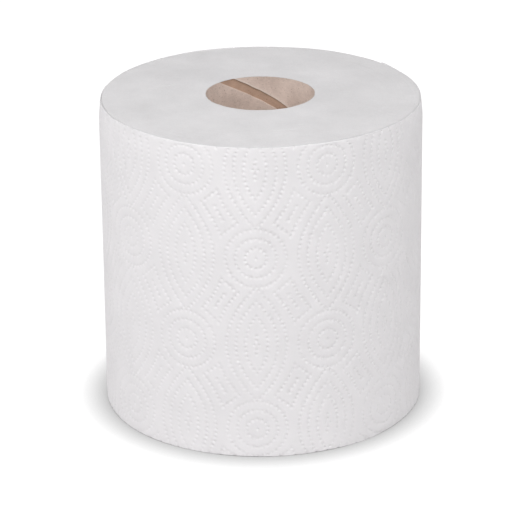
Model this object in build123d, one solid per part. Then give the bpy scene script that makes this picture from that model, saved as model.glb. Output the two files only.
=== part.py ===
from build123d import *
import os
from math import atan, ceil, cos, pi, radians, sin

# A roll of embossed paper towel on a two-ply board core, standing on its sawn end.
# Millimetres. The origin is the middle of the end it stands on, with +Z along the roll.

# The roll
roll_diameter = 192.0         # across the winding, midway through its last turn
sheet_width = 190.0           # length of the roll, and of the core sawn off with it
sheet_caliper = 0.4           # one embossed sheet, so the step where the last turn ends
tail_angle = 38.0             # where the last turn ends, in degrees from +X towards +Y
last_turn_arcs = 12           # arcs that make up the last turn's spiral

# The core
core_bore = 64.0              # clear diameter through the core
inner_ply_thickness = 0.45
outer_ply_thickness = 0.45
glue_line = 0.05              # space that the glue fills between the two plies
strip_lead = 108.0            # height that the inner ply's strip climbs in one turn
strip_gap = 5.2               # space between neighbouring edges of the strip, square to them
gap_depth_at_back = 11.6      # from the top end down to the middle of that space, at +Y
gap_cut_depth = 3.0           # radial depth of the cut that leaves the space, well through the ply

# Worked out from the sizes above
mean_roll_radius = roll_diameter / 2
bore_radius = core_bore / 2
outer_ply_radius = bore_radius + inner_ply_thickness + glue_line
core_radius = outer_ply_radius + outer_ply_thickness


def last_turn_point(turn):
    """A point on the last turn, which gains one sheet's thickness from turn 0 to turn 1."""
    angle = radians(tail_angle) + 2 * pi * turn
    radius = mean_roll_radius + sheet_caliper * (turn - 0.5)
    return Vector(radius * cos(angle), radius * sin(angle))


def wound_towel():
    """The whole winding: a spiral outline with the step of the cut sheet end, on a round bore."""
    outline = Curve()
    for arc in range(last_turn_arcs):
        start = arc / last_turn_arcs
        end = (arc + 1) / last_turn_arcs
        middle = (start + end) / 2
        outline += ThreePointArc(last_turn_point(start), last_turn_point(middle), last_turn_point(end))
    outline += Line(last_turn_point(1), last_turn_point(0))
    section = make_face(outline) - Circle(core_radius)
    return extrude(section, sheet_width)


def core_outer_ply():
    """The board tube that the towel is wound on."""
    section = Circle(core_radius) - Circle(outer_ply_radius)
    return extrude(section, sheet_width)


def strip_gap_half_turn():
    """Half a turn of the helical space between the strip's edges, starting at +X and height 0."""
    climb_angle = atan(strip_lead / (2 * pi * bore_radius))
    gap_height = strip_gap / cos(climb_angle)
    path = Helix(strip_lead, strip_lead / 2, bore_radius + inner_ply_thickness / 2)
    across_the_ply = Plane(origin=path @ 0, x_dir=(1, 0, 0), z_dir=(0, -1, 0))
    section = across_the_ply * Rectangle(gap_cut_depth, gap_height)
    return sweep(section, path=path, is_frenet=True)


def core_inner_ply():
    """The board strip that lines the bore: a tube with a helical space left between its edges."""
    ply = extrude(Circle(bore_radius + inner_ply_thickness) - Circle(bore_radius), sheet_width)
    half_turn = strip_gap_half_turn()
    rise = strip_lead / 2
    # +X comes a quarter turn before +Y, so the space is a quarter of the lead lower there.
    height_at_x_axis = sheet_width - gap_depth_at_back - strip_lead / 4
    half_turns_below = ceil(height_at_x_axis / rise) + 1
    half_turns_above = ceil((sheet_width - height_at_x_axis) / rise) + 1
    for index in range(-half_turns_below, half_turns_above):
        ply -= Pos(0, 0, height_at_x_axis + index * rise) * Rot(0, 0, index * 180) * half_turn
    return ply


parts = {
    "wound_towel": wound_towel(),
    "core_outer_ply": core_outer_ply(),
    "core_inner_ply": core_inner_ply(),
}

os.makedirs("parts", exist_ok=True)
for name, shape in parts.items():
    export_step(shape, f"parts/{name}.step")
    print(name, "solids", len(shape.solids()), "volume", round(shape.volume, 1))
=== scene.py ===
import math

import bmesh
import bpy
import numpy as np
from mathutils import Matrix, Vector
from mathutils.geometry import delaunay_2d_cdt

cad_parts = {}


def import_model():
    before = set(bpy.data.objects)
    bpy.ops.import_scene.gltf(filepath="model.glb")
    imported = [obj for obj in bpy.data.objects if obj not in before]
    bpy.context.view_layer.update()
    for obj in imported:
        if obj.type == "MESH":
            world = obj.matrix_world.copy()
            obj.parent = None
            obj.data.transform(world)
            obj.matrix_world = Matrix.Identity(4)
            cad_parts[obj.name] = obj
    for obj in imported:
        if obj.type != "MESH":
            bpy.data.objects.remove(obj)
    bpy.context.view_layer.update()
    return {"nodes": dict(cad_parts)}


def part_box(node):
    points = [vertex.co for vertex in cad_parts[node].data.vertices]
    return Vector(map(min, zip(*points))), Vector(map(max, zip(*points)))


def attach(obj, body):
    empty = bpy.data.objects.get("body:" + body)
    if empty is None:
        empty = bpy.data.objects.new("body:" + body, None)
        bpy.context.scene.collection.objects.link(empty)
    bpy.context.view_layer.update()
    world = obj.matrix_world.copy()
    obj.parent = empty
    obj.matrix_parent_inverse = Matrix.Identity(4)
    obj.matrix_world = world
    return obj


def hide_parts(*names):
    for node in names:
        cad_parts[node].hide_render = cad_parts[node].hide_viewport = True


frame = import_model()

MM = 0.001
FULL_TURN = 2 * math.pi

# Sizes that the frame gives
towel_low, towel_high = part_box("wound_towel")
core_low, core_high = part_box("core_outer_ply")
lining_low, lining_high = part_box("core_inner_ply")
ROLL_RADIUS = (towel_high.x - towel_low.x + towel_high.y - towel_low.y) / 4
ROLL_HEIGHT = towel_high.z
CORE_RADIUS = (core_high.x - core_low.x) / 2
PLY = 0.45 * MM                      # thickness of each ply of the core
BORE_RADIUS = (lining_high.x - lining_low.x) / 2 - PLY

# The last turn of paper
CALIPER = 0.4 * MM                   # thickness of one embossed sheet
TAIL_ANGLE = math.radians(38)        # where the last turn ends
TURN_LENGTH = FULL_TURN * ROLL_RADIUS
TAIL_OVERLAP = 8 * MM                # how far the turn reaches back under its own tail
SHEET_LENGTH = 380 * MM              # from one perforation to the next
PERFORATION = TURN_LENGTH - SHEET_LENGTH
TAIL_LIFT = 0.9 * MM                 # how far the loose end stands off, at most
TAIL_LOOSE = 14 * MM                 # length of the loose end
CUT_PITCH = 7.0 * MM                 # from one bond of a perforation to the next
NIB_LENGTH = 0.7 * MM                # torn paper left at each bond along the tail
NIB_ROOT = 2.5 * MM                  # how far back from the tail the tear moves the paper
CUT_GROOVE = 0.45 * MM               # depth of the groove that a perforation's cuts leave
GROOVE_REACH = 1.5 * MM              # half the groove's width
RAGGED_REACH = 6 * MM                # how far down from the top the sheet's edge is uneven
FOOT_REACH = 5 * MM                  # how far up from the base it is
FLARE = 0.35 * MM                    # how far the sheet's top stands off where it flares
FLARE_RISE = 0.25 * MM               # and how much higher it is there
FLARE_ANGLE = math.radians(208)      # where that is
FLARE_SPREAD = 0.35                  # how far round it goes, in radians

# The winding's soft form
TAPER = 1.15 * MM                    # how much the roll's radius shrinks from base to top
SHOULDER = 0.9 * MM                  # how far the top rim is pressed in at the left and right
SHOULDER_REACH = 12 * MM             # how far down from the top it is
DROOP = 0.9 * MM                     # how much lower a sawn end is at the front of its rim
DROOP_REACH = 40 * MM                # how far in from the rim it droops
BROAD_SWELL = 0.28 * MM              # height of the broad unevenness of the side
RIPPLE = 0.07 * MM                   # and of the finer one
RIM_ROUNDING = 0.22 * MM             # how far the side draws in at both ends
RIM_ROUNDING_REACH = 3 * MM
UNDER_SHEET = 0.12 * MM              # space between the last turn and the winding's own wall
LIP = 0.8 * MM                       # how far the cut fibres lean over the end of the core
TOP_RISE = 0.15 * MM                 # how far the sawn top stands above the roll's height
FOOT_RISE = 0.35 * MM                # how far above the floor the sawn base is, by the core

# The embossing: dots on rings, pointed ovals and lozenges
COLUMN_PITCH = 41.8 * MM             # between columns of motifs, round the roll
ROW_PITCH = 52.8 * MM                # between a ring motif and the oval above it
RING_ANGLE = math.radians(-92.2)     # where one column stands
RING_HEIGHT = 17.9 * MM              # height of its lowest ring motif
RING_LENGTH = ((RING_ANGLE - TAIL_ANGLE) % FULL_TURN) * ROLL_RADIUS   # that column along the turn
DOT_RADIUS = 0.9 * MM
DOT_DEPTH = 0.45 * MM
DOT_EDGE = 0.08 * MM                 # how far the paper stands out beside a dot
WEAK_ANGLE = math.radians(-142)      # where the dots are pressed in least
WEAK_SPREAD = math.radians(32)
WEAKER = 0.3                         # how much shallower they are there
PUFF_HEIGHT = 0.018 * MM             # how much further the paper swells between the dots
PUFF_REACH = 2.7 * MM                # distance from a dot at which it is fully swollen
FILL_SPACING = 1.7 * MM              # between the points that fill the mesh away from the dots
BACK_SPACING = 9 * MM                # between the points of a sheet's back

# The middle of the front, as a length along the turn
FRONT = ((-math.pi / 2 - TAIL_ANGLE) % FULL_TURN) * ROLL_RADIUS
# Soft folds in the outer sheet: length along the turn, height, half length, slope and size of each
CREASES = (
    (FRONT + 34 * MM, 141 * MM, 11 * MM, math.radians(26), 0.20 * MM),
    (FRONT + 53 * MM, 151 * MM, 9 * MM, math.radians(30), -0.16 * MM),
    (FRONT - 30 * MM, 81 * MM, 12 * MM, math.radians(-6), 0.10 * MM),
    (60 * MM, 58 * MM, 20 * MM, math.radians(-24), 0.14 * MM),
    (470 * MM, 120 * MM, 16 * MM, math.radians(17), 0.12 * MM),
)

# Pinched folds in the sawn ends: radius, angle, heading, half length and size of each
WRINKLES = (
    (58 * MM, 164, 8, 8 * MM, 0.22 * MM),
    (66 * MM, 170, -14, 5 * MM, 0.15 * MM),
    (80 * MM, -27, -42, 8 * MM, 0.24 * MM),
    (72 * MM, -20, -36, 6 * MM, 0.16 * MM),
    (68 * MM, -76, 12, 10 * MM, 0.22 * MM),
    (62 * MM, -70, 20, 7 * MM, 0.16 * MM),
    (53 * MM, 9, 60, 4 * MM, 0.22 * MM),
    (86 * MM, -122, -34, 9 * MM, 0.2 * MM),
    (49 * MM, 100, 15, 7 * MM, 0.14 * MM),
)

# The core's inner strip
STRIP_LEAD = 108 * MM                # height that it climbs in one turn
GAP_HEIGHT = 5.9 * MM                # height of the space between its neighbouring edges
GAP_DEPTH_AT_BACK = 11.6 * MM        # from the top end down to the middle of that space, at +Y
EDGE_LIFT = 0.22 * MM                # how far its lower edge stands off the outer ply
EDGE_LIFT_REACH = 3.5 * MM           # how far in from the edge that goes
EDGE_ROUNDING = 0.12 * MM            # how far its edges round over
EDGE_WAVER = 0.10 * MM               # how far they waver up and down

# Colours and light
SAWN_DARK, SAWN_LIGHT = 0.64, 0.71   # the mottling of the sawn ends, kept below the face's white partly as painted shade
FACE_DARK, FACE_LIGHT = 0.80, 0.835  # and of the sheet's face
TORN_BOARD = (0.86, 0.78, 0.70)      # the strip's pale torn edge
FLOOR_COLOUR = (0.7, 0.69, 0.695)
FLOOR_SEEN = 0.2                     # share of that colour that the camera sees, beside the glow
FLOOR_GLOW = 0.96
CONTACT_GLOW = 0.0                   # glow left right beside the roll
CONTACT_SHADOW = 30 * MM             # reach of the shadow that hugs its base
WORLD_LIGHT = 0.38
SHADOW_CORE, SHADOW_RIM = 0.2, 0.9   # openness at which the glow is least, and at which it is full

CAMERA_LENS = 164.16                 # millimetres, on a sensor 36 mm wide
CAMERA_PLACE = (-0.0573, -13.838, 6.458)    # in radii of the roll
CAMERA_PITCH = 21.958                # degrees that it looks down
CAMERA_YAW, CAMERA_ROLL = -0.193, -0.514    # degrees

# Name, azimuth, elevation, distance, size and power of each softbox, in degrees, metres and watts.
# Azimuth 0 is in front, and positive is to the right.
SOFTBOXES = (
    ("overhead", 0, 66, 1.15, 0.7, 4.6),
    ("front_left", -40, 38, 1.6, 1.2, 6.0),
    ("far_left", -70, 30, 1.6, 1.2, 5.6),
    ("right", 50, 28, 1.7, 1.2, 7.7),
    ("back", 165, 16, 1.7, 1.4, 6.5),
)


# ---------------------------------------------------------------- noise

def smoothstep(value, low, high):
    share = np.clip((value - low) / (high - low), 0, 1)
    return share * share * (3 - 2 * share)


def wavy(angle, along, lobes, wavelength, seed):
    """Smooth noise round and along the roll, about -1 to 1, with no seam: a sum of waves."""
    waves = 9
    random = np.random.default_rng(seed)
    total = 0
    for _ in range(waves):
        count = random.integers(1, lobes + 1)
        rate = random.uniform(-1, 1) * FULL_TURN / wavelength
        total = total + np.sin(count * angle + rate * along + random.uniform(0, FULL_TURN))
    return total / math.sqrt(waves)


def layered(radius, angle, pitch, seed, lobes=3):
    """Noise in thin concentric layers that change slowly round the roll, about -1 to 1."""
    random = np.random.default_rng(seed)
    steps = int(ROLL_RADIUS / pitch) + 3
    wound = (radius - CALIPER * angle / FULL_TURN) / pitch
    total = 0
    for lobe in range(lobes + 1):
        layer = np.interp(wound, np.arange(steps), random.normal(size=steps))
        total = total + layer * np.cos(lobe * angle + random.uniform(0, FULL_TURN))
    return total / math.sqrt(lobes + 1)


# ---------------------------------------------------------------- the embossing

def ring_dots(radius, count):
    """Dots round a circle, the first at its top."""
    angles = math.pi / 2 + np.arange(count) * FULL_TURN / count
    return np.column_stack([radius * np.cos(angles), radius * np.sin(angles)])


def pointed_side(half_width, half_height, power, count, tip):
    """Evenly spaced dots up one side of a pointed oval and their mirror image on the other."""
    height = np.linspace(-half_height, half_height, 400)
    width = half_width * (1 - np.abs(height / half_height) ** power)
    length = np.concatenate([[0], np.cumsum(np.hypot(np.diff(width), np.diff(height)))])
    first = 0 if tip else 0.03
    places = np.linspace(first, 1 - first, count) * length[-1]
    side = np.column_stack([np.interp(places, length, width), np.interp(places, length, height)])
    return np.vstack([side, side * (-1, 1)])


def lozenge_dots():
    """A slim lozenge that leans from one ring motif to the next, with a short line inside it."""
    top, right = np.array([1.1, 13.3]), np.array([10.4, 5.5])
    long_edge = np.linspace(-right, top, 9)
    bow = np.sin(np.linspace(0, math.pi, 9))[:, None] * np.array([0.75, -0.45])
    short_edge = np.linspace(top, right, 5)[1:-1]
    half = np.vstack([long_edge + bow, short_edge])
    line = np.linspace((-2.3, -3.9), (2.3, 3.9), 4)
    return np.vstack([half, -half, line])


def motif_dots():
    """All the dots of one tile: the block between neighbouring mirror lines of the pattern.

    They are laid out in millimetres and returned in metres.
    """
    centre = np.zeros((1, 2))
    rings = np.vstack([centre, ring_dots(6.15, 14), ring_dots(11.8, 26), ring_dots(17.5, 38)])
    cross = np.array([(0, 5.6), (0, 2.8), (1.6, 0), (-1.6, 0), (0, -2.8), (0, -5.6)])
    ovals = np.vstack([
        cross,
        pointed_side(6.35, 17.8, 2.2, 14, tip=True),
        pointed_side(12.0, 26.7, 2.2, 22, tip=True),
        pointed_side(17.5, 35.2, 1.9, 28, tip=False),
    ])
    wide, high = COLUMN_PITCH / MM, ROW_PITCH / MM
    dots = np.vstack([
        rings,
        rings + (wide, high),
        ovals + (0, high),
        ovals + (wide, 0),
        lozenge_dots() + (wide / 2, high / 2),
    ])
    slack = 1e-6
    inside = np.all((dots > -slack) & (dots < (wide + slack, high + slack)), axis=1)
    return np.unique(np.round(dots[inside], 5), axis=0) * MM


def tile_mesh(dots):
    """Points and triangles of one tile, with rings of points round each dot."""
    wide, high = COLUMN_PITCH, ROW_PITCH
    points = [dots]
    for radius, count in ((0.5 * DOT_RADIUS, 6), (DOT_RADIUS, 8)):
        for dot in dots:
            on_row = min(dot[1], high - dot[1]) < 1e-7
            sides = 8 if on_row else count
            angles = math.pi / 2 + np.arange(sides) * FULL_TURN / sides
            points.append(dot + radius * np.column_stack([np.cos(angles), np.sin(angles)]))
    columns = round(wide / FILL_SPACING)
    rows = round(high / (FILL_SPACING * math.sqrt(0.75)))
    filler = []
    for row in range(rows + 1):
        shift = 0.5 * (row % 2)
        for column in range(columns + 1):
            x = min(max((column - shift) / columns, 0), 1) * wide
            filler.append((x, row / rows * high))
        filler.append((wide, row / rows * high))
    filler = np.unique(np.round(np.array(filler), 9), axis=0)
    distance = nearest_dot(filler, dots)
    points.append(filler[distance > DOT_RADIUS + 0.6 * MM])
    points = np.vstack(points)
    slack = 1e-7
    points = points[np.all((points > -slack) & (points < (wide + slack, high + slack)), axis=1)]
    points = np.clip(points, 0, (wide, high))
    corners = np.array([(0, 0), (wide, 0), (wide, high), (0, high)])
    points = np.unique(np.round(np.vstack([points, corners]) / MM, 4), axis=0)
    found = delaunay_2d_cdt([Vector(p) for p in points], [], [], 0, 1e-5)
    return np.array([tuple(v) for v in found[0]]) * MM, np.array([tuple(f) for f in found[2]])


def nearest_dot(points, dots):
    """Distance from each point to the dot nearest it."""
    nearest = np.full(len(points), np.inf)
    for dot in dots:
        nearest = np.minimum(nearest, np.hypot(points[:, 0] - dot[0], points[:, 1] - dot[1]))
    return nearest


def folded(points):
    """Points of the unrolled sheet, folded back at the pattern's mirror lines into one tile."""
    x = points[:, 0] - RING_LENGTH
    z = points[:, 1] - RING_HEIGHT
    x = np.abs((x + COLUMN_PITCH) % (2 * COLUMN_PITCH) - COLUMN_PITCH)
    z = np.abs((z + ROW_PITCH) % (2 * ROW_PITCH) - ROW_PITCH)
    return np.column_stack([x, z])


def embossing(points, dots):
    """How far the paper stands out at each point: down in the dots, swollen between them."""
    distance = nearest_dot(folded(points), dots)
    dent = 1 - smoothstep(distance, 0.3 * DOT_RADIUS, DOT_RADIUS)
    puff = smoothstep(distance, DOT_RADIUS, PUFF_REACH)
    angle = points[:, 0] / ROLL_RADIUS
    strength = np.clip(0.88 + 0.16 * wavy(angle, points[:, 1], 20, 0.03, seed=7), 0.55, 1.06)
    from_weak = (angle + TAIL_ANGLE - WEAK_ANGLE + math.pi) % FULL_TURN - math.pi
    strength = strength * (1 - WEAKER * np.exp(-((from_weak / WEAK_SPREAD) ** 2)))
    return DOT_EDGE + PUFF_HEIGHT * puff - DOT_DEPTH * dent * strength


DOTS = motif_dots()


# ---------------------------------------------------------------- the winding's form

def turn_radius(length):
    """Outer radius of the last turn, a spiral that gains one sheet over the turn."""
    return ROLL_RADIUS + CALIPER * (length / TURN_LENGTH - 0.5)


def swell(angle, height):
    """How far the whole winding stands out of a true spiral: it is soft, so a little uneven."""
    broad = BROAD_SWELL * wavy(angle, height, 5, 0.5, seed=3)
    ripple = RIPPLE * wavy(angle, height, 22, 0.12, seed=4)
    ends = smoothstep(height, 0, RIM_ROUNDING_REACH)
    ends = ends * smoothstep(ROLL_HEIGHT - height, 0, RIM_ROUNDING_REACH)
    pressed = smoothstep(height, ROLL_HEIGHT - SHOULDER_REACH, ROLL_HEIGHT)
    shoulder = SHOULDER * np.cos(angle) ** 2 * pressed
    return broad + ripple - RIM_ROUNDING * (1 - ends) - TAPER * height / ROLL_HEIGHT - shoulder


def rim_droop(angle):
    """How much lower a sawn end is at its rim than by the core: most at the front."""
    return DROOP * (0.55 - 0.45 * np.sin(angle))


def place(length, height, out):
    """Points of the unrolled sheet, wound round the roll and out of the last turn by out."""
    angle = TAIL_ANGLE + length / ROLL_RADIUS
    radius = turn_radius(length) + swell(angle, height) + out
    return np.column_stack([radius * np.cos(angle), radius * np.sin(angle), height])


# ---------------------------------------------------------------- meshes

def new_piece(name, points, faces, material):
    mesh = bpy.data.meshes.new(name)
    mesh.from_pydata(np.asarray(points).tolist(), [], [list(map(int, f)) for f in faces])
    mesh.validate()
    mesh.update()
    mesh.shade_smooth()
    piece = bpy.data.objects.new(name, mesh)
    bpy.context.scene.collection.objects.link(piece)
    mesh.materials.append(material)
    return piece


def unroll(piece, places):
    """Give a piece a UV map of where each point lies on the unrolled sheet or strip, in metres."""
    uv = piece.data.uv_layers.new(name="unrolled")
    corners = np.zeros(len(piece.data.loops), dtype=np.int64)
    piece.data.loops.foreach_get("vertex_index", corners)
    uv.data.foreach_set("uv", places[corners].astype(np.float32).ravel())


def flat_sheet(start, end):
    """The unrolled, embossed sheet from start to end, cut out of the repeated tile."""
    points, triangles = tile_mesh(DOTS)
    all_points, all_triangles, count = [], [], 0
    first_column = math.floor((start - RING_LENGTH) / COLUMN_PITCH)
    last_column = math.ceil((end - RING_LENGTH) / COLUMN_PITCH)
    first_row = math.floor(-RING_HEIGHT / ROW_PITCH)
    last_row = math.ceil((ROLL_HEIGHT - RING_HEIGHT) / ROW_PITCH)
    for column in range(first_column, last_column):
        for row in range(first_row, last_row):
            x = COLUMN_PITCH - points[:, 0] if column % 2 else points[:, 0]
            z = ROW_PITCH - points[:, 1] if row % 2 else points[:, 1]
            x = x + RING_LENGTH + column * COLUMN_PITCH
            z = z + RING_HEIGHT + row * ROW_PITCH
            all_points.append(np.column_stack([x, z]))
            flipped = (column % 2) != (row % 2)
            all_triangles.append((triangles[:, ::-1] if flipped else triangles) + count)
            count += len(points)
    places = np.round(np.vstack(all_points) / MM, 3)
    merged, same = np.unique(places, axis=0, return_inverse=True)
    triangles = same.reshape(-1)[np.vstack(all_triangles)]
    mesh = bpy.data.meshes.new("flat")
    mesh.from_pydata([(x * MM, 0.0, z * MM) for x, z in merged], [], triangles.tolist())
    work = bmesh.new()
    work.from_mesh(mesh)
    bpy.data.meshes.remove(mesh)
    cuts = (
        ((start, 0, 0), (-1, 0, 0)),
        ((end, 0, 0), (1, 0, 0)),
        ((0, 0, 0), (0, 0, -1)),
        ((0, 0, ROLL_HEIGHT), (0, 0, 1)),
    )
    for point, outward in cuts:
        geometry = work.verts[:] + work.edges[:] + work.faces[:]
        plane = dict(plane_co=point, plane_no=outward)
        bmesh.ops.bisect_plane(work, geom=geometry, dist=0.02 * MM, clear_outer=True, **plane)
    bmesh.ops.triangulate(work, faces=work.faces[:])
    work.verts.index_update()
    flat = np.array([(v.co.x, v.co.z) for v in work.verts])
    faces = np.array([[v.index for v in f.verts] for f in work.faces])
    rim = [(e.verts[0].index, e.verts[1].index) for e in work.edges if e.is_boundary]
    work.free()
    return flat, faces, rim


def facing_out(points, faces):
    """Faces of the unrolled sheet, turned so that the wound sheet's normals point outwards."""
    a, b, c = (points[faces[:, i]] for i in range(3))
    turn = (b[:, 0] - a[:, 0]) * (c[:, 1] - a[:, 1]) - (b[:, 1] - a[:, 1]) * (c[:, 0] - a[:, 0])
    faces = faces.copy()
    faces[turn < 0] = faces[turn < 0][:, ::-1]
    return faces


def back_of_sheet(flat, rim, start, end):
    """A coarse triangulation of the sheet's back that shares its rim points with the front."""
    rim_points = sorted({i for edge in rim for i in edge})
    order = {index: place for place, index in enumerate(rim_points)}
    columns = round((end - start) / BACK_SPACING)
    rows = round(ROLL_HEIGHT / BACK_SPACING)
    grid = [
        (start + (end - start) * column / columns, ROLL_HEIGHT * row / rows)
        for column in range(1, columns)
        for row in range(1, rows)
    ]
    points = np.vstack([flat[rim_points], np.array(grid)])
    edges = [(order[a], order[b]) for a, b in rim]
    found = delaunay_2d_cdt([Vector(p / MM) for p in points], edges, [], 1, 1e-5)
    back = np.array([tuple(v) for v in found[0]]) * MM
    return back, np.array([tuple(f) for f in found[2]]), order, found[3]


def loose_end(length, height):
    """How far the tail stands off the turn below it."""
    share = smoothstep(length, TURN_LENGTH - TAIL_LOOSE, TURN_LENGTH)
    uneven = 0.55 + 0.45 * wavy(0, height, 1, 0.06, seed=12)
    return TAIL_LIFT * share * uneven


def bonds(height, sharpness):
    """1 at the bonds of a perforation, which hold two sheets together, and 0 in its cuts."""
    uneven = 0.8 * wavy(0, height, 1, 0.05, seed=14)
    return smoothstep(np.cos(FULL_TURN * height / CUT_PITCH + uneven), sharpness, 1)


def creases(length, height):
    """Soft folds left in the outer sheet by handling: a low ridge each, with a hollow beside it."""
    total = np.zeros(len(length))
    for middle, tall, half, slope, size in CREASES:
        along = (length - middle) * math.cos(slope) + (height - tall) * math.sin(slope)
        across = (height - tall) * math.cos(slope) - (length - middle) * math.sin(slope)
        fade = np.exp(-((along / half) ** 4))
        across = across - 0.9 * MM * np.sin(along / half * 2)
        ridge = np.exp(-((across / (0.55 * MM)) ** 2))
        hollow = np.exp(-(((across + 1.3 * MM) / (0.8 * MM)) ** 2))
        total += size * fade * (ridge - 0.8 * hollow)
    return total


def towel_sheet(name, start, end, material, cut_material):
    """One sheet of the last turn, embossed, with a back and edges of its own."""
    flat, faces, rim = flat_sheet(start, end)
    faces = facing_out(flat, faces)
    back, back_faces, order, origin = back_of_sheet(flat, rim, start, end)
    back_faces = facing_out(back, back_faces)[:, ::-1]
    front_count = len(flat)
    back_of = {}
    for index, sources in enumerate(origin):
        for source in sources:
            back_of[source] = index
    walls = []
    edge_set = {(a, b) for f in faces for a, b in ((f[0], f[1]), (f[1], f[2]), (f[2], f[0]))}
    for a, b in rim:
        if (a, b) not in edge_set:
            a, b = b, a
        back_a, back_b = back_of[order[a]] + front_count, back_of[order[b]] + front_count
        walls += [(b, a, back_a), (b, back_a, back_b)]

    def wound(points, out):
        length, height = points[:, 0], points[:, 1]
        out = out + loose_end(length, height)
        torn = 0.12 * MM * wavy(0, height, 1, 0.011, seed=15) + NIB_LENGTH * bonds(height, 0.3)
        length = length + torn * smoothstep(length, TURN_LENGTH - NIB_ROOT, TURN_LENGTH)
        groove = 1 - smoothstep(np.abs(length - PERFORATION), 0, GROOVE_REACH)
        out = out - CUT_GROOVE * groove * (1 - 0.85 * bonds(height, 0.5))
        angle = TAIL_ANGLE + length / ROLL_RADIUS
        top = smoothstep(height, ROLL_HEIGHT - RAGGED_REACH, ROLL_HEIGHT)
        foot = 1 - smoothstep(height, 0, FOOT_REACH)
        flare = np.exp(-(((angle % FULL_TURN - FLARE_ANGLE) / FLARE_SPREAD) ** 2))
        out = out + top * (0.05 * MM * wavy(angle, height, 9, 1, seed=21) + FLARE * flare)
        ragged = 0.10 * MM * wavy(angle, height, 16, 1, seed=22)
        ragged = ragged + 0.06 * MM * wavy(angle, height, 90, 1, seed=24)
        height = height + top * (ragged + FLARE_RISE * flare - rim_droop(angle))
        height = height + foot * 0.12 * MM * (1.2 + wavy(angle, height, 14, 1, seed=23))
        return place(length, np.maximum(height, 0), out)

    front_out = embossing(flat, DOTS) + creases(flat[:, 0], flat[:, 1])
    points = np.vstack([wound(flat, front_out), wound(back, np.full(len(back), -CALIPER))])
    all_faces = faces.tolist() + (back_faces + front_count).tolist() + walls
    piece = new_piece(name, points, all_faces, material)
    piece.data.materials.append(cut_material)
    for polygon in piece.data.polygons[-len(walls):]:
        polygon.material_index = 1
    unroll(piece, np.vstack([flat, back]))
    return piece


def sawn_relief(radius, angle, seed):
    """Height of a sawn end: thin uneven layers, broad dips, and a rim that rounds over."""
    broad = 0.20 * MM * wavy(angle, radius, 4, 0.07, seed=seed)
    layers = 0.030 * MM * layered(radius, angle, 0.9 * MM, seed + 1)
    bands = 0.045 * MM * layered(radius, angle, 3.2 * MM, seed + 2)
    near_rim = smoothstep(radius, ROLL_RADIUS - 12 * MM, ROLL_RADIUS - 2 * MM)
    streaks = 0.13 * MM * near_rim * layered(radius, angle, 1.3 * MM, seed + 3, lobes=7)
    rounding = 0.15 * MM * smoothstep(radius, ROLL_RADIUS - 1.6 * MM, ROLL_RADIUS - 0.4 * MM)
    droop = rim_droop(angle) * smoothstep(radius, ROLL_RADIUS - DROOP_REACH, ROLL_RADIUS)
    return broad + layers + bands + streaks - rounding - droop


def wrinkles(radius, angle):
    """A few short pinched folds in the sawn end."""
    total = np.zeros(len(angle))
    x, y = radius * np.cos(angle), radius * np.sin(angle)
    for at_radius, at_angle, heading, half, size in WRINKLES:
        along_x, along_y = math.cos(math.radians(heading)), math.sin(math.radians(heading))
        dx = x - at_radius * math.cos(math.radians(at_angle))
        dy = y - at_radius * math.sin(math.radians(at_angle))
        along = (dx * along_x + dy * along_y) / half
        across = (dy * along_x - dx * along_y) / (0.9 * MM) - 0.8 * along ** 2
        profile = np.exp(-(across ** 2)) - 0.7 * np.exp(-((across + 1.5) ** 2))
        total += size * np.exp(-(along ** 4)) * profile
    return total


def towel_winding(material):
    """All the turns under the last one, closed: two sawn ends, the bore and the outer wall."""
    sides = 560
    angle = np.arange(sides) / sides * FULL_TURN
    turn = ((angle - TAIL_ANGLE) % FULL_TURN) / FULL_TURN
    wall = turn_radius(turn * TURN_LENGTH) - CALIPER - UNDER_SHEET
    loops = []

    def add(radius, height):
        height = np.broadcast_to(height, angle.shape)
        loops.append(np.column_stack([radius * np.cos(angle), radius * np.sin(angle), height]))

    # Cut fibres lean over the end of the core, so the top starts inside the core's outer edge.
    fuzz = LIP + 0.12 * MM * wavy(angle, 0, 40, 1, seed=51)
    over_core = ROLL_HEIGHT + 0.03 * MM
    add(CORE_RADIUS, ROLL_HEIGHT * 0.99)
    add(CORE_RADIUS, over_core)
    add(CORE_RADIUS - fuzz, over_core)
    inner = CORE_RADIUS - fuzz - 0.1 * MM
    for share in np.linspace(0, 1, 128):
        radius = inner + share * (wall + swell(angle, ROLL_HEIGHT) - inner)
        relief = sawn_relief(radius, angle, seed=31) + wrinkles(radius, angle)
        lip = smoothstep(radius, inner, inner + 1.6 * MM)
        add(radius, ROLL_HEIGHT + TOP_RISE + np.where(share == 0, 0, relief * lip))
    for height in np.array([0.985, 0.95, 0.75, 0.5, 0.25, 0.05, 0.015]) * ROLL_HEIGHT:
        add(wall + swell(angle, height), height)
    for share in np.linspace(1, 0, 36):
        radius = CORE_RADIUS + share * (wall + swell(angle, 0) - CORE_RADIUS)
        add(radius, np.maximum(FOOT_RISE - sawn_relief(radius, angle, seed=41), 0))
    around = np.arange(sides)
    following = (around + 1) % sides
    faces = []
    for ring in range(len(loops)):
        low, high = ring * sides, ((ring + 1) % len(loops)) * sides
        quads = (low + around, high + around, high + following, low + following)
        faces.append(np.column_stack(quads))
    return new_piece("towel_winding", np.vstack(loops), np.vstack(faces), material)


# ---------------------------------------------------------------- the core

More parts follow.
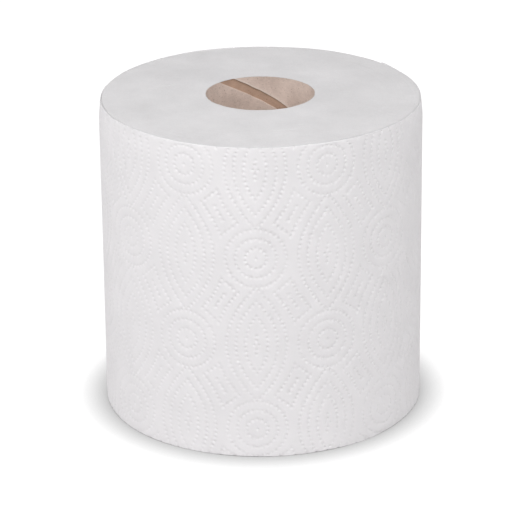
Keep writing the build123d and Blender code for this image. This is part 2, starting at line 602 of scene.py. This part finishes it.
def core_lining(material):
    """The inner ply: one strip of board wound in a helix, cut off with the roll at both ends."""
    width = STRIP_LEAD - GAP_HEIGHT
    near_edge = np.array([0, 0.12, 0.35, 0.8, 1.6, 3.0, 5.0]) * MM
    middle = np.linspace(9 * MM, width - 9 * MM, 22)
    across = np.concatenate([near_edge, middle, width - near_edge[::-1]])
    from_edge = np.minimum(across, width - across)
    lift = EDGE_LIFT * (1 - smoothstep(across, 0, EDGE_LIFT_REACH))
    rounding = EDGE_ROUNDING * (1 - smoothstep(from_edge, 0, 0.3 * MM))
    top = ROLL_HEIGHT - GAP_DEPTH_AT_BACK + GAP_HEIGHT / 2
    first = math.pi / 2 - FULL_TURN * (top + STRIP_LEAD) / STRIP_LEAD
    last = math.pi / 2 + FULL_TURN * (ROLL_HEIGHT - top + 0.05 * STRIP_LEAD) / STRIP_LEAD
    turns = np.linspace(first, last, 420)
    loop_size = 2 * len(across)
    points, places = [], []
    for angle in turns:
        height = top + STRIP_LEAD * (angle - math.pi / 2) / FULL_TURN + across
        waver = EDGE_WAVER * wavy(angle, 0, 30, 1, seed=61)
        height = height + waver * (from_edge < 1 * MM)
        inner = BORE_RADIUS - lift + rounding + 0.05 * MM * wavy(angle, height, 9, 0.04, seed=62)
        outer = BORE_RADIUS + PLY - 0.02 * MM - lift
        radius = np.concatenate([inner, outer[::-1]])
        height = np.concatenate([height, height[::-1]])
        x, y = radius * math.cos(angle), radius * math.sin(angle)
        points.append(np.column_stack([x, y, height]))
        along = np.full(loop_size, angle * BORE_RADIUS)
        places.append(np.column_stack([along, np.concatenate([across, across[::-1]])]))
    faces = []
    for step in range(len(turns) - 1):
        for index in range(loop_size):
            a = step * loop_size + index
            b = step * loop_size + (index + 1) % loop_size
            faces.append((a, a + loop_size, b + loop_size, b))
    piece = new_piece("core_inner_strip", np.vstack(points), faces, material)
    unroll(piece, np.vstack(places))
    work = bmesh.new()
    work.from_mesh(piece.data)
    for height, outward in ((0, -1), (ROLL_HEIGHT, 1)):
        geometry = work.verts[:] + work.edges[:] + work.faces[:]
        plane = dict(plane_co=(0, 0, height), plane_no=(0, 0, outward))
        bmesh.ops.bisect_plane(work, geom=geometry, dist=0.01 * MM, clear_outer=True, **plane)
    bmesh.ops.holes_fill(work, edges=[e for e in work.edges if e.is_boundary], sides=0)
    bmesh.ops.triangulate(work, faces=[f for f in work.faces if len(f.verts) > 4])
    bmesh.ops.recalc_face_normals(work, faces=work.faces[:])
    for edge in work.edges:
        edge.smooth = edge.calc_face_angle(0) < math.radians(40)
    work.to_mesh(piece.data)
    work.free()
    return piece


# ---------------------------------------------------------------- materials

def new_material(name, rough):
    material = bpy.data.materials.new(name)
    material.use_nodes = True
    nodes, links = material.node_tree.nodes, material.node_tree.links
    shader = nodes["Principled BSDF"]
    shader.inputs["Roughness"].default_value = rough
    shader.inputs["Specular IOR Level"].default_value = 0.2
    return material, nodes, links, shader


def noise_node(nodes, links, vector, scale, detail, roughness):
    node = nodes.new("ShaderNodeTexNoise")
    node.inputs["Scale"].default_value = scale
    node.inputs["Detail"].default_value = detail
    node.inputs["Roughness"].default_value = roughness
    links.new(vector, node.inputs["Vector"])
    return node.outputs["Fac"]


def stretched(nodes, links, vector, scale):
    node = nodes.new("ShaderNodeMapping")
    node.inputs["Scale"].default_value = scale
    links.new(vector, node.inputs["Vector"])
    return node.outputs["Vector"]


def ramp(nodes, links, factor, stops):
    """A colour ramp between two stops, each a position and a colour."""
    node = nodes.new("ShaderNodeValToRGB")
    for element, (position, colour) in zip(node.color_ramp.elements, stops):
        element.position = position
        element.color = (*colour, 1)
    links.new(factor, node.inputs["Fac"])
    return node.outputs["Color"]


def bump(nodes, links, height, distance, below=None):
    node = nodes.new("ShaderNodeBump")
    node.inputs["Distance"].default_value = distance
    node.inputs["Strength"].default_value = 1
    links.new(height, node.inputs["Height"])
    if below is not None:
        links.new(below, node.inputs["Normal"])
    return node.outputs["Normal"]


def grey(value):
    """The paper's white, a little short of green."""
    return tuple(value * tint for tint in (1.0, 0.982, 0.995))


def multiplied(nodes, links, first, second):
    mix = nodes.new("ShaderNodeMix")
    mix.data_type = "RGBA"
    mix.blend_type = "MULTIPLY"
    mix.inputs["Factor"].default_value = 1
    links.new(first, mix.inputs["A"])
    links.new(second, mix.inputs["B"])
    return mix.outputs["Result"]


def operation(nodes, links, kind, first, second):
    """A Math node on two values, each a socket or a number."""
    node = nodes.new("ShaderNodeMath")
    node.operation = kind
    for socket, value in zip(node.inputs, (first, second)):
        if isinstance(value, (int, float)):
            socket.default_value = value
        else:
            links.new(value, socket)
    return node.outputs[0]


def towel_face_material():
    """Creped tissue: fine ridges along the roll, fibres and faint mottling."""
    material, nodes, links, shader = new_material("embossed_tissue", 0.95)
    place_node = nodes.new("ShaderNodeTexCoord").outputs["Object"]
    uv = nodes.new("ShaderNodeUVMap")
    uv.uv_map = "unrolled"
    ridges = stretched(nodes, links, uv.outputs["UV"], (1700, 420, 1))
    crepe = noise_node(nodes, links, ridges, 1.0, 4, 0.6)
    fibre = noise_node(nodes, links, place_node, 900, 4, 0.65)
    mottle = noise_node(nodes, links, place_node, 60, 3, 0.5)
    colour = ramp(nodes, links, mottle, [(0.3, grey(FACE_DARK)), (0.7, grey(FACE_LIGHT))])
    links.new(colour, shader.inputs["Base Color"])
    normal = bump(nodes, links, crepe, 0.05 * MM)
    links.new(bump(nodes, links, fibre, 0.06 * MM, below=normal), shader.inputs["Normal"])
    shader.inputs["Sheen Weight"].default_value = 0.1
    shader.inputs["Sheen Roughness"].default_value = 0.6
    return material


def sawn_end_material():
    """Sawn tissue: thousands of cut edges in fine rings; darker than the face, partly the paper's
    own grey and partly painted shade of the cut fibres' self-shadowing.
    """
    material, nodes, links, shader = new_material("sawn_tissue", 0.97)
    place_node = nodes.new("ShaderNodeTexCoord").outputs["Object"]
    split = nodes.new("ShaderNodeSeparateXYZ")
    links.new(place_node, split.inputs[0])
    flat = nodes.new("ShaderNodeCombineXYZ")
    links.new(split.outputs["X"], flat.inputs["X"])
    links.new(split.outputs["Y"], flat.inputs["Y"])
    length = nodes.new("ShaderNodeVectorMath")
    length.operation = "LENGTH"
    links.new(flat.outputs[0], length.inputs[0])
    direction = nodes.new("ShaderNodeVectorMath")
    direction.operation = "NORMALIZE"
    links.new(flat.outputs[0], direction.inputs[0])
    # The noise changes fast with the radius and slowly round the roll, so it forms rings.
    ringed = nodes.new("ShaderNodeVectorMath")
    ringed.operation = "MULTIPLY_ADD"
    ringed.inputs[1].default_value = (3, 3, 3)
    lift = nodes.new("ShaderNodeCombineXYZ")
    links.new(operation(nodes, links, "MULTIPLY", length.outputs["Value"], 1100), lift.inputs["Z"])
    links.new(direction.outputs[0], ringed.inputs[0])
    links.new(lift.outputs[0], ringed.inputs[2])
    rings = noise_node(nodes, links, ringed.outputs[0], 1.0, 5, 0.7)
    fuzz = noise_node(nodes, links, place_node, 1000, 5, 0.75)
    mottle = noise_node(nodes, links, place_node, 38, 5, 0.62)
    # Painted shade in part: the sawn colour stays below the face's to stand in for shade among the
    # cut fibres, beside the paper's own grey.
    colour = ramp(nodes, links, mottle, [(0.3, grey(SAWN_DARK)), (0.7, grey(SAWN_LIGHT))])
    shade = ramp(nodes, links, rings, [(0.25, (0.985, 0.985, 0.985)), (0.7, (1, 1, 1))])
    grain = ramp(nodes, links, fuzz, [(0.3, (0.92, 0.92, 0.92)), (0.7, (1, 1, 1))])
    coloured = multiplied(nodes, links, multiplied(nodes, links, colour, shade), grain)
    links.new(coloured, shader.inputs["Base Color"])
    normal = bump(nodes, links, rings, 0.02 * MM)
    links.new(bump(nodes, links, fuzz, 0.25 * MM, below=normal), shader.inputs["Normal"])
    return material


def board_material(name, dark, light, speck, strip=False):
    """Recycled board: mottled pulp, fibres, dark flecks and, on a strip, a pale torn lower edge."""
    material, nodes, links, shader = new_material(name, 0.9)
    place_node = nodes.new("ShaderNodeTexCoord").outputs["Object"]
    mottle = noise_node(nodes, links, place_node, 55, 6, 0.68)
    lying = stretched(nodes, links, place_node, (500, 500, 1500))
    fibres = noise_node(nodes, links, lying, 1.0, 4, 0.7)
    flecks = noise_node(nodes, links, place_node, 1100, 2, 0.5)
    base = ramp(nodes, links, mottle, [(0.32, dark), (0.68, light)])
    fibre_shade = ramp(nodes, links, fibres, [(0.3, (0.88, 0.88, 0.88)), (0.65, (1, 1, 1))])
    fleck_shade = ramp(nodes, links, flecks, [(0.29, speck), (0.36, (1, 1, 1))])
    colour = multiplied(nodes, links, multiplied(nodes, links, base, fibre_shade), fleck_shade)
    if strip:
        uv = nodes.new("ShaderNodeUVMap")
        uv.uv_map = "unrolled"
        split = nodes.new("ShaderNodeSeparateXYZ")
        links.new(uv.outputs["UV"], split.inputs[0])
        torn = nodes.new("ShaderNodeMapRange")
        torn.inputs["From Min"].default_value = 0.5 * MM
        torn.inputs["From Max"].default_value = 1.3 * MM
        torn.inputs["To Min"].default_value = 0.7
        torn.inputs["To Max"].default_value = 0
        links.new(split.outputs["Y"], torn.inputs["Value"])
        pale = nodes.new("ShaderNodeMix")
        pale.data_type = "RGBA"
        pale.inputs["B"].default_value = (*TORN_BOARD, 1)
        links.new(torn.outputs[0], pale.inputs["Factor"])
        links.new(colour, pale.inputs["A"])
        colour = pale.outputs["Result"]
    links.new(colour, shader.inputs["Base Color"])
    links.new(bump(nodes, links, fibres, 0.05 * MM), shader.inputs["Normal"])
    return material


def seen_share(nodes, links):
    """1 for what the camera sees directly, in a reflection or through a clear thing, else 0."""
    rays = nodes.new("ShaderNodeLightPath")
    camera_ray, glossy_ray = rays.outputs["Is Camera Ray"], rays.outputs["Is Glossy Ray"]
    seen = operation(nodes, links, "MAXIMUM", camera_ray, glossy_ray)
    return operation(nodes, links, "MAXIMUM", seen, rays.outputs["Is Transmission Ray"])


# ---------------------------------------------------------------- studio

def floor():
    """A white floor. Only what is seen of it glows, and less where the roll closes off light."""
    size = 8.0
    corners = [(-size, -size, 0), (size, -size, 0), (size, size, 0), (-size, size, 0)]
    mesh = bpy.data.meshes.new("floor")
    mesh.from_pydata(corners, [], [(0, 1, 2, 3)])
    material = bpy.data.materials.new("floor")
    material.use_nodes = True
    nodes, links = material.node_tree.nodes, material.node_tree.links
    nodes.clear()
    seen = seen_share(nodes, links)
    pick = nodes.new("ShaderNodeMix")
    pick.data_type = "RGBA"
    pick.inputs["A"].default_value = (*FLOOR_COLOUR, 1)
    pick.inputs["B"].default_value = (*(FLOOR_SEEN * value for value in FLOOR_COLOUR), 1)
    links.new(seen, pick.inputs["Factor"])
    diffuse = nodes.new("ShaderNodeBsdfDiffuse")
    links.new(pick.outputs["Result"], diffuse.inputs["Color"])
    occlusion = nodes.new("ShaderNodeAmbientOcclusion")
    occlusion.inputs["Distance"].default_value = CONTACT_SHADOW
    # Tilted towards the back, so that the shadow is deepest in front of the roll
    occlusion.inputs["Normal"].default_value = (0, 0.8, 0.6)
    occlusion.samples = 16
    fade = nodes.new("ShaderNodeMapRange")
    fade.inputs["From Min"].default_value = SHADOW_CORE
    fade.inputs["From Max"].default_value = SHADOW_RIM
    fade.inputs["To Min"].default_value = CONTACT_GLOW
    fade.inputs["To Max"].default_value = FLOOR_GLOW
    links.new(occlusion.outputs["AO"], fade.inputs["Value"])
    strength = operation(nodes, links, "MULTIPLY", fade.outputs[0], seen)
    glow = nodes.new("ShaderNodeEmission")
    links.new(strength, glow.inputs["Strength"])
    both = nodes.new("ShaderNodeAddShader")
    links.new(diffuse.outputs[0], both.inputs[0])
    links.new(glow.outputs[0], both.inputs[1])
    links.new(both.outputs[0], nodes.new("ShaderNodeOutputMaterial").inputs["Surface"])
    mesh.materials.append(material)
    piece = bpy.data.objects.new("floor", mesh)
    bpy.context.scene.collection.objects.link(piece)


def world():
    made = bpy.data.worlds.new("studio")
    bpy.context.scene.world = made
    made.use_nodes = True
    nodes, links = made.node_tree.nodes, made.node_tree.links
    background = nodes["Background"]
    background.inputs["Color"].default_value = (1, 1, 1, 1)
    pick = nodes.new("ShaderNodeMix")
    pick.inputs["A"].default_value = WORLD_LIGHT
    pick.inputs["B"].default_value = 1
    links.new(seen_share(nodes, links), pick.inputs["Factor"])
    links.new(pick.outputs["Result"], background.inputs["Strength"])


def softbox(name, azimuth, elevation, distance, size, power):
    """A square area lamp aimed at the roll's middle."""
    lamp = bpy.data.lights.new(name, "AREA")
    lamp.shape = "SQUARE"
    lamp.size = size
    lamp.energy = power
    piece = bpy.data.objects.new(name, lamp)
    a, e = math.radians(azimuth), math.radians(elevation)
    away = Vector((math.sin(a) * math.cos(e), -math.cos(a) * math.cos(e), math.sin(e)))
    piece.location = away * distance + Vector((0, 0, ROLL_HEIGHT / 2))
    piece.rotation_euler = away.to_track_quat("Z", "Y").to_euler()
    bpy.context.scene.collection.objects.link(piece)


def camera():
    """A long lens in front of the roll, looking down at it, held a little off level."""
    data = bpy.data.cameras.new("camera")
    data.sensor_width = 36
    data.lens = CAMERA_LENS
    data.clip_start, data.clip_end = 0.05, 50
    piece = bpy.data.objects.new("camera", data)
    piece.location = [value * ROLL_RADIUS for value in CAMERA_PLACE]
    yaw = Matrix.Rotation(math.radians(CAMERA_YAW), 4, "Z")
    pitch = Matrix.Rotation(math.radians(90 - CAMERA_PITCH), 4, "X")
    roll = Matrix.Rotation(math.radians(CAMERA_ROLL), 4, "Z")
    piece.rotation_euler = (yaw @ pitch @ roll).to_euler()
    bpy.context.scene.collection.objects.link(piece)
    bpy.context.scene.camera = piece


# ---------------------------------------------------------------- the object

tissue = towel_face_material()
sawn = sawn_end_material()
grey_board = board_material(
    "grey_board", (0.60, 0.487, 0.43), (0.83, 0.70, 0.625), speck=(0.6, 0.55, 0.52), strip=True,
)
brown_board = board_material(
    "brown_board", (0.45, 0.31, 0.232), (0.59, 0.41, 0.31), speck=(0.75, 0.7, 0.66),
)
winding = towel_winding(sawn)
last_sheet = towel_sheet("towel_last_sheet", PERFORATION, TURN_LENGTH, tissue, sawn)
next_sheet = towel_sheet("towel_next_sheet", -TAIL_OVERLAP, PERFORATION, tissue, sawn)
lining = core_lining(grey_board)
pieces = (
    (winding, "wound_towel", "towel_paper"),
    (last_sheet, "wound_towel", "towel_paper"),
    (next_sheet, "wound_towel", "towel_paper"),
    (lining, "core_inner_ply", "core_grey_board"),
)
for piece, node, slot in pieces:
    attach(piece, "root")
    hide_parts(node)
outer_ply = frame["nodes"]["core_outer_ply"].data.materials
outer_ply.clear()
outer_ply.append(brown_board)

floor()
world()
for settings in SOFTBOXES:
    softbox(*settings)
camera()
bpy.context.scene.view_settings.view_transform = "Standard"
